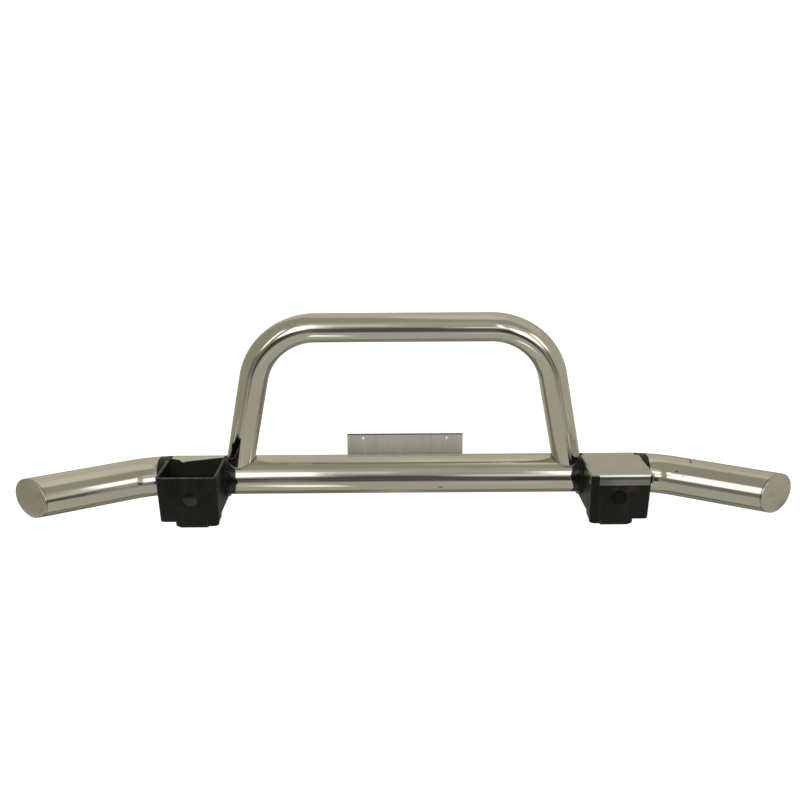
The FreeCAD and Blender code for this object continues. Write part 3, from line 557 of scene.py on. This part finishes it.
M_TUBE = polished("polished_main_finish", STEEL, 0.055, paint=True)
M_HOOP = polished("polished_hoop_finish", STEEL, 0.055)
M_CAP = cap_steel()
M_WELD = weld_steel()
M_BLACK = black_paint()
M_DUSTY = dusty_paint_with_glow()
M_BLACK_WELD = black_weld()
M_COVER = cover_steel()
M_SHEET = brushed_sheet()
M_SCREW = fastener("screw_finish", (0.50, 0.50, 0.50), (0.68, 0.68, 0.67), 0.24)
M_NUT = fastener("zinc_finish", (0.50, 0.49, 0.44), (0.72, 0.71, 0.66), 0.30)

for node, mat in (
        ("bracket_shell_left", M_BLACK), ("bracket_shell_right", M_BLACK),
        ("bracket_floor_left", M_DUSTY), ("bracket_floor_right", M_DUSTY),
        ("bracket_weld_inboard_left", M_BLACK_WELD), ("bracket_weld_inboard_right", M_BLACK_WELD),
        ("bracket_weld_outboard_left", M_BLACK_WELD), ("bracket_weld_outboard_right", M_BLACK_WELD),
        ("floor_weld_left", M_BLACK_WELD), ("floor_weld_right", M_BLACK_WELD),
        ("cover_plate", M_COVER), ("number_plate_bracket", M_SHEET),
        ("plate_bracket_screws", M_SCREW), ("plate_bracket_washers", M_SCREW),
        ("plate_rivet_nuts", M_NUT)):
    for s in nodes[node].material_slots:
        s.material = mat

# -------------------------------------------------------------- main tube
N = 144
outer = [r_ + AX for r_ in tube_rings(R, N, CAP)]
inner = [r_ + AX for r_ in tube_rings(R - WALL, N, CAP)]
verts, faces = shell_of(outer, inner, N)
main = finish_mesh("main_tube_polished", verts, faces, "guard", "main_tube",
                   M_TUBE)
bored(main, [(s * 60 * MM, AX[1] + R - 1 * MM, AX[2]) for s in (-1, 1)], 4.5 * MM, 22 * MM)

# end caps: flush plates with a ground, slightly rounded edge
for side, flip in (("left", FLIP), ("right", np.ones(3))):
    round_ = 0.9 * MM
    rings = [mitre_ring(R, N, CAP)]
    centre = MITRE_P
    for t in np.linspace(0, math.pi / 2, 5):
        back = round_ * (1 - math.sin(t))
        inset = round_ * (1 - math.cos(t))
        rg = mitre_ring(R, N, back)
        out = rg - (centre - MITRE_N * back)
        out /= np.linalg.norm(out, axis=1)[:, None]
        rings.append(rg - out * inset)
    verts, faces = [], []
    for rg in rings:
        verts.extend(rg * flip + AX)
    for i in range(len(rings) - 1):
        strip(faces, i * N, (i + 1) * N, N)
    faces.append(tuple(range(N)))
    faces.append(tuple(reversed(range((len(rings) - 1) * N, len(rings) * N))))
    finish_mesh("end_cap_%s_ground" % side, verts, faces, "guard", "end_cap_" + side,
                M_CAP, sharp=24)

# ------------------------------------------------------------------- hoop
COS_L, SIN_L = math.cos(LEAN), math.sin(LEAN)


def lean(pts):
    """From the hoop's own plane (x, depth, rise) to the row frame."""
    p = np.asarray(pts, float).reshape(-1, 3)
    out = np.empty_like(p)
    out[:, 0] = p[:, 0]
    out[:, 1] = p[:, 1] * COS_L - p[:, 2] * SIN_L
    out[:, 2] = p[:, 1] * SIN_L + p[:, 2] * COS_L
    return out


UP = np.array([-math.sin(SPLAY), 0.0, math.cos(SPLAY)])
SIDE = np.array([math.cos(SPLAY), 0.0, math.sin(SPLAY)])


def foot_ring(rad, n, tube_rad):
    """Where the right leg's wall meets a cylinder about the main tube's axis."""
    c, s = circle_dirs(n)
    base = np.array([FOOT, 0, 0]) + rad * (c[:, None] * SIDE + s[:, None] * np.array([0, 1.0, 0]))
    b3, u3 = lean(base), lean(UP)[0]
    qa = u3[1] ** 2 + u3[2] ** 2
    qb = b3[:, 1] * u3[1] + b3[:, 2] * u3[2]
    qc = b3[:, 1] ** 2 + b3[:, 2] ** 2 - tube_rad ** 2
    t = (-qb + np.sqrt(qb * qb - qa * qc)) / qa
    return b3 + t[:, None] * u3, t


def hoop_rings(rad, n):
    c, s = circle_dirs(n)
    depth = s[:, None] * np.array([0, 1.0, 0])
    rings = []
    leg = RISE / math.cos(SPLAY) - T_HOOP
    first, t0 = foot_ring(rad, n, R)
    rings.append(first)
    for t in np.linspace(float(t0.max()) + 3 * MM, leg, 12):
        rings.append(lean(np.array([FOOT, 0, 0]) + UP * t + rad * (c[:, None] * SIDE + depth)))
    half = TOP_X - T_HOOP
    for a in np.linspace(SPLAY, math.pi / 2, 61)[1:]:
        centre = np.array([half + HB * math.cos(a), 0, RISE - HB + HB * math.sin(a)])
        side = np.array([math.cos(a), 0, math.sin(a)])
        rings.append(lean(centre + rad * (c[:, None] * side + depth)))
    for x in np.linspace(half, 0, 12)[1:]:
        centre = np.array([x, 0, RISE])
        rings.append(lean(centre + rad * (c[:, None] * np.array([0, 0, 1.0]) + depth)))
    return rings + [rg * FLIP for rg in reversed(rings[:-1])]


NH = 120
outer = [r_ + AX for r_ in hoop_rings(HR, NH)]
inner = [r_ + AX for r_ in hoop_rings(HR - WALL, NH)]
verts, faces = shell_of(outer, inner, NH)
finish_mesh("hoop_tube_polished", verts, faces, "guard", "hoop_tube", M_HOOP)


# ------------------------------------------------------------- weld beads
def ripple(u, pitch, amp, seed):
    """Run of overlapping puddles along a bead, each a round arch steep at both ends."""
    f = (u / pitch) % 1.0
    wob = noise.noise(Vector((u / pitch * 0.37, seed, 0.0)))
    return 1.0 + amp * (math.sqrt(max(0.0, 1 - (2 * f - 1) ** 2)) - 0.8) + 0.06 * wob


def bead_mesh(name, roots, legs_a, legs_b, width, pitch, node, material, closed, clamp=None):
    """Fillet bead: at each root point a leg lies on either parent surface, and
    the face between them bulges out in ripples."""
    n = len(roots)
    k = 7
    verts, faces = [], []
    length = 0.0
    for i in range(n):
        if i:
            length += float(np.linalg.norm(roots[i] - roots[i - 1]))
        w = width * ripple(length, pitch, 0.05, 3.7)
        a, b = legs_a[i], legs_b[i]
        verts.append(roots[i])
        for j in range(k):
            t = j / (k - 1) * math.pi / 2
            ca, sb = math.cos(t), math.sin(t)
            # between a straight chamfer and a full round, a little proud
            mix = 0.55
            fa = mix * ca + (1 - mix) * (1 - j / (k - 1))
            fb = mix * sb + (1 - mix) * (j / (k - 1))
            p = roots[i] + w * (fa * a + fb * b)
            if clamp is not None:
                p = clamp(p)
            verts.append(p)
    m = k + 1
    for i in range(n if closed else n - 1):
        i2 = (i + 1) % n
        for j in range(m):
            j2 = (j + 1) % m
            faces.append((i * m + j, i * m + j2, i2 * m + j2, i2 * m + j))
    if not closed:
        faces.append(tuple(range(m)))
        faces.append(tuple(reversed(range((n - 1) * m, n * m))))
    return finish_mesh(name, verts, faces, "guard", node, material, sharp=50)


def unit(v):
    return v / np.linalg.norm(v)


nb = 320
p0, t0 = foot_ring(HR, nb, R)
q0, _ = foot_ring(HR + BEAD, nb, R)
up3 = lean(UP)[0]
for side, flip in (("left", FLIP), ("right", np.ones(3))):
    roots = [p * flip + AX for p in p0]
    legs_a = [up3 * flip for _ in p0]
    legs_b = [unit(q - p) * flip for p, q in zip(p0, q0)]
    wall = BOX_IN - 2.5 * MM

    def keep(p, wall=wall):
        p = np.array(p)
        p[0] = max(-wall, min(wall, p[0]))
        return p

    bead_mesh("hoop_weld_%s_bead" % side, roots, legs_a, legs_b, BEAD * 0.52, 3.4 * MM,
              "hoop_weld_" + side, M_WELD, True, keep)


# ------------------------------------------------------------ cover plate
def block(x0, x1, y0, y1, z0, z1, fold=0.0, steps=14):
    """Box from the main tube's axis; fold rounds its rear and side upper edges."""
    bm = bmesh.new()
    bmesh.ops.create_cube(bm, size=1.0)
    for v in bm.verts:
        v.co = Vector((x1 if v.co.x > 0 else x0, float(AX[1]) + (y1 if v.co.y > 0 else y0),
                       float(AX[2]) + (z1 if v.co.z > 0 else z0)))
    if fold:
        top = [e for e in bm.edges if all(abs(v.co.z - float(AX[2]) - z1) < 1e-7 for v in e.verts)
               and not all(abs(v.co.y - float(AX[1]) - y1) < 1e-7 for v in e.verts)]
        bmesh.ops.bevel(bm, geom=top, offset=fold, segments=steps, affect="EDGES", profile=0.5,
                        clamp_overlap=False)
    bmesh.ops.recalc_face_normals(bm, faces=bm.faces)
    me_ = bpy.data.meshes.new("block")
    bm.to_mesh(me_)
    bm.free()
    return me_


GAP, LID, ZB = 0.2 * MM, 1.8 * MM, 37.0 * MM
ZT = BOX_TOP + GAP + LID
LX0, LX1, LY = BOX_IN - GAP - LID, BOX_OUT + GAP + LID, -118 * MM - GAP - LID
cover = bpy.data.objects.new("cover_plate_folded", block(LX0, LX1, LY, -12 * MM, 19 * MM, ZT, 3.6 * MM))
scene.collection.objects.link(cover)
cuts = [block(BOX_IN - GAP, BOX_OUT + GAP, -118 * MM - GAP, 5 * MM, 10 * MM, BOX_TOP + GAP),
        block(LX0 - 2 * MM, 358.2 * MM, LY - 3 * MM, -112 * MM, 15 * MM, ZB),
        block(451 * MM, LX1 + 2 * MM, LY - 3 * MM, -112 * MM, 15 * MM, ZB),
        block(LX0 - 2 * MM, LX1 + 2 * MM, -58 * MM, -5 * MM, 17 * MM, ZB)]
# the side lips' forward ends slope from their foot up to the fold
for v in cuts[3].vertices:
    if v.co.y < AX[1] - 30 * MM:
        v.co.y = AX[1] + (-50 * MM if v.co.z > AX[2] + 25 * MM else -58 * MM)
for me_ in cuts:
    tool = bpy.data.objects.new("cut", me_)
    scene.collection.objects.link(tool)
    mod = cover.modifiers.new("cut", "BOOLEAN")
    mod.operation, mod.solver, mod.object = "DIFFERENCE", "EXACT", tool
    bpy.context.view_layer.update()
    deps = bpy.context.evaluated_depsgraph_get()
    cut_me = bpy.data.meshes.new_from_object(cover.evaluated_get(deps))
    cover.modifiers.clear()
    old = cover.data
    cover.data = cut_me
    bpy.data.meshes.remove(old)
    bpy.data.objects.remove(tool)
    bpy.data.meshes.remove(me_)
cover.data.name = "cover_plate_folded"
for p in cover.data.polygons:
    n_ = p.normal
    p.use_smooth = max(abs(n_.x), abs(n_.y), abs(n_.z)) < 0.9995
cover.data.materials.clear()
cover.data.materials.append(M_COVER)
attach(cover, "cover")
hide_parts("cover_plate")

# --------------------------------------------------------------- camera
YAW, PITCH, ROLL = math.radians(0.34), math.radians(16.15), math.radians(-0.28)
fwd = Vector((math.sin(YAW) * math.cos(PITCH), math.cos(YAW) * math.cos(PITCH), -math.sin(PITCH)))
right = Vector((math.cos(YAW), -math.sin(YAW), 0.0))
up = right.cross(fwd)
r2 = math.cos(ROLL) * right + math.sin(ROLL) * up
u2 = -math.sin(ROLL) * right + math.cos(ROLL) * up
cam_data = bpy.data.cameras.new("camera")
cam_data.lens, cam_data.sensor_width = 40.5, 36.0
cam_data.clip_end = 60.0
cam = bpy.data.objects.new("camera", cam_data)
scene.collection.objects.link(cam)
place = Matrix((r2, u2, -fwd)).transposed().to_4x4()
place.translation = Vector((-16.3 * MM, AX[1] - 1659.7 * MM, AX[2] + 630.9 * MM))
cam.matrix_world = place
scene.camera = cam

# ---------------------------------------------------------------- studio
# A warm grey room.  In front of the guard's rear side are bright panels just
# above eye level, with dark furniture under them and a figure between them.
scene.view_settings.view_transform = "Standard"
scene.view_settings.look = "None"
world = bpy.data.worlds.new("studio")
scene.world = world
world.use_nodes = True
wt = world.node_tree
wt.nodes.clear()
w_out = wt.nodes.new("ShaderNodeOutputWorld")
w_bg = wt.nodes.new("ShaderNodeBackground")
wt.links.new(w_bg.outputs[0], w_out.inputs[0])
w = Net(wt, "Generated")
azim = w.math("MULTIPLY", w.math("ARCTAN2", w.x, w.math("MULTIPLY", w.y, -1.0)), 57.29578)
elev = w.math("MULTIPLY", w.math("ARCSINE", w.z), 57.29578)
away = w.math("SUBTRACT", 180.0, w.math("ABSOLUTE", azim))      # degrees from straight ahead


def panel(a0, a1, e0, e1, sa=2.0, se=2.0, angle=None):
    """Soft-edged rectangle of the room: azimuth a0..a1, elevation e0..e1."""
    a = azim if angle is None else angle
    one = w.math("MULTIPLY", w.step(a, a0 - sa, a0 + sa), w.step(a, a1 + sa, a1 - sa))
    two = w.math("MULTIPLY", w.step(elev, e0 - se, e0 + se), w.step(elev, e1 + se, e1 - se))
    return w.math("MULTIPLY", one, two)


def grey(v, warm=1.0):
    """Grey of the room, a little yellow where warm is 1 and neutral at 0."""
    return (v, v * (1 - 0.035 * warm), v * (1 - 0.22 * warm))


# the left-hand side and the ceiling are dimmer than the right and the far side
room = w.mix(w.step(azim, 45.0, 75.0), grey(0.345, 1.1), grey(0.54))
room = w.mix(w.step(azim, -128.0, -148.0), room, grey(0.56))
room = w.mix(w.math("MULTIPLY", w.step(elev, 34.0, 26.0), w.step(azim, -6.0, 8.0)), room, grey(0.46))
room = w.mix(w.math("MULTIPLY", w.step(elev, 60.0, 74.0), w.step(azim, 0.0, 30.0)), room, grey(0.66))
room = w.mix(w.step(elev, -22.0, -30.0), room, grey(0.455, 0.85))
for mask, amount, col in (
        # floor at either side, in the shade
        (panel(-178, -97, -88, -33, 10.0, 5.0), 0.80, grey(0.12)),
        (panel(96, 178, -88, -24, 10.0, 6.0), 0.75, grey(0.15)),
        (panel(-75, -45, -30, -24, 8.0, 3.0), 0.70, grey(0.10)),
        # dark furniture under the lights
        (panel(-52, -27, -22, -3.5, 6.0, 2.5), 0.80, grey(0.165, 0.3)),
        (panel(-25, -7, -28, -4, 2.5, 3.0), 0.93, grey(0.045, 0.2)),
        (panel(-7, 7, -27, 2, 2.5, 4.0), 0.90, grey(0.070, 0.0)),
        (panel(6, 19, -28, -3, 2.5, 3.0), 0.95, grey(0.045, 0.0)),
        (panel(19, 34, -27, -9, 3.0, 3.0), 0.70, grey(0.165, 0.3)),
        (panel(33.5, 40.5, -22, -2.5, 1.2, 2.5), 0.92, grey(0.060, 0.0)),
        (panel(40.5, 56, -27, -12, 2.0, 5.0), 0.50, grey(0.20, 0.3)),
        # glow round the light panels
        (panel(-15, 15, 26, 50, 5.0, 6.0), 0.70, grey(0.50, 0.8)),
        (panel(-27, -8, 24, 42, 4.0, 5.0), 0.60, grey(0.85, 0.5)),
        # a figure standing between the two bright panels
        (panel(-3.5, 3.5, -6, 9, 1.6, 4.0), 0.82, grey(0.070, 0.0)),
        (panel(2, 9, 15, 27, 2.0, 3.0), 0.35, grey(0.36, 0.3)),
        (panel(-10, -6, -34, -14, 2.0, 4.0), 0.35, grey(0.40, 0.5)),
        # light panels
        (panel(-27.2, -9.5, 2.0, 29, 1.8, 3.0), 1.0, (2.0, 2.0, 1.95)),
        (panel(-10, -5.0, 7, 31, 1.4, 4.0), 1.0, (1.75, 1.75, 1.7)),
        (panel(-5, 0, 19, 33, 1.4, 3.0), 0.8, grey(0.80, 0.3)),
        (panel(-42.8, -35.6, 1, 33, 1.2, 4.5), 1.0, (1.7, 1.7, 1.65)),
        (panel(9.8, 14.5, 5, 27, 1.2, 3.0), 1.0, (1.6, 1.6, 1.55)),
        (panel(4.0, 10, 1.5, 10, 1.5, 2.0), 0.8, (0.95, 0.95, 0.92)),
        (panel(14, 33, 13, 34, 4.0, 5.0), 0.55, grey(0.72, 0.4)),
        (panel(15.5, 32, -8, 13, 2.0, 2.5), 1.0, (2.0, 2.0, 1.95)),
        (panel(32, 40, -6, 14, 2.0, 3.0), 0.35, grey(0.80, 0.2)),
        (panel(39.8, 52, 2.5, 23, 1.0, 3.0), 0.95, (1.8, 1.8, 1.75)),
        (panel(-14, -6, -61, -48, 1.8, 2.5), 1.0, (1.45, 1.45, 1.4)),
        (panel(-12, -7, -46, -38, 2.0, 2.0), 0.5, grey(0.70, 0.4)),
        (panel(5, 13, -46, -38, 2.0, 2.0), 0.5, grey(0.70, 0.4))):
    room = w.mix(w.math("MULTIPLY", mask, amount), room, col)
# the far side near eye level is darker again
far = w.math("MULTIPLY", w.step(away, 42.0, 30.0),
             w.math("MULTIPLY", w.step(elev, -28.0, -18.0), w.step(elev, 15.0, 8.0)))
room = w.mix(w.math("MULTIPLY", far, 0.75), room, grey(0.34, 0.8))
w.link(room, w_bg.inputs["Color"])
w_bg.inputs["Strength"].default_value = 1.0


def flat_material(name, colour, glow, bounce):
    m, nt, b = new_material(name)
    b.inputs["Base Color"].default_value = (*[c * bounce for c in colour], 1.0)
    b.inputs["Roughness"].default_value = 0.9
    b.inputs["Specular IOR Level"].default_value = 0.0
    b.inputs["Emission Color"].default_value = (*colour, 1.0)
    b.inputs["Emission Strength"].default_value = glow
    return m


# pale floor, and a plain white surround far behind it; the polished tubes
# mirror the room and not these two
me = bpy.data.meshes.new("floor")
ang = np.linspace(0, 2 * math.pi, 97)[:-1]
me.from_pydata([(9.0 * math.cos(a), 9.0 * math.sin(a), -0.0004) for a in ang], [],
               [tuple(range(96))])
floor = bpy.data.objects.new("floor", me)
scene.collection.objects.link(floor)
me.materials.append(flat_material("floor_finish", (1.0, 1.0, 1.0), 0.97, 0.30))
floor.visible_glossy = False
floor.visible_transmission = False

bm = bmesh.new()
bmesh.ops.create_icosphere(bm, subdivisions=5, radius=9.2)
bmesh.ops.reverse_faces(bm, faces=bm.faces)
me = bpy.data.meshes.new("surround")
bm.to_mesh(me)
bm.free()
surround = bpy.data.objects.new("surround", me)
scene.collection.objects.link(surround)
me.materials.append(flat_material("surround_finish", (1.0, 1.0, 1.0), 1.05, 0.0))
for flag in ("visible_glossy", "visible_diffuse", "visible_transmission", "visible_shadow",
             "visible_volume_scatter"):
    setattr(surround, flag, False)


def soft_light(name, place_, aim, size, power, colour, mirror=False):
    data = bpy.data.lights.new(name, "AREA")
    data.shape, data.size, data.size_y = "RECTANGLE", size[0], size[1]
    data.energy, data.color = power, colour
    ob = bpy.data.objects.new(name, data)
    scene.collection.objects.link(ob)
    ob.location = place_
    ob.rotation_euler = (Vector(aim) - Vector(place_)).to_track_quat("-Z", "Y").to_euler()
    ob.visible_camera = False
    ob.visible_glossy = mirror
    return ob


soft_light("key", (-1.2, -2.2, 3.0), (0, 0, 0.1), (3.4, 3.4), 95.0, (1.0, 0.985, 0.95))
soft_light("fill", (2.2, 2.4, 2.6), (0, 0, 0.1), (3.0, 3.0), 55.0, (1.0, 0.99, 0.96))

# ------------------------------------------------------------------ finish
bpy.context.view_layer.update()
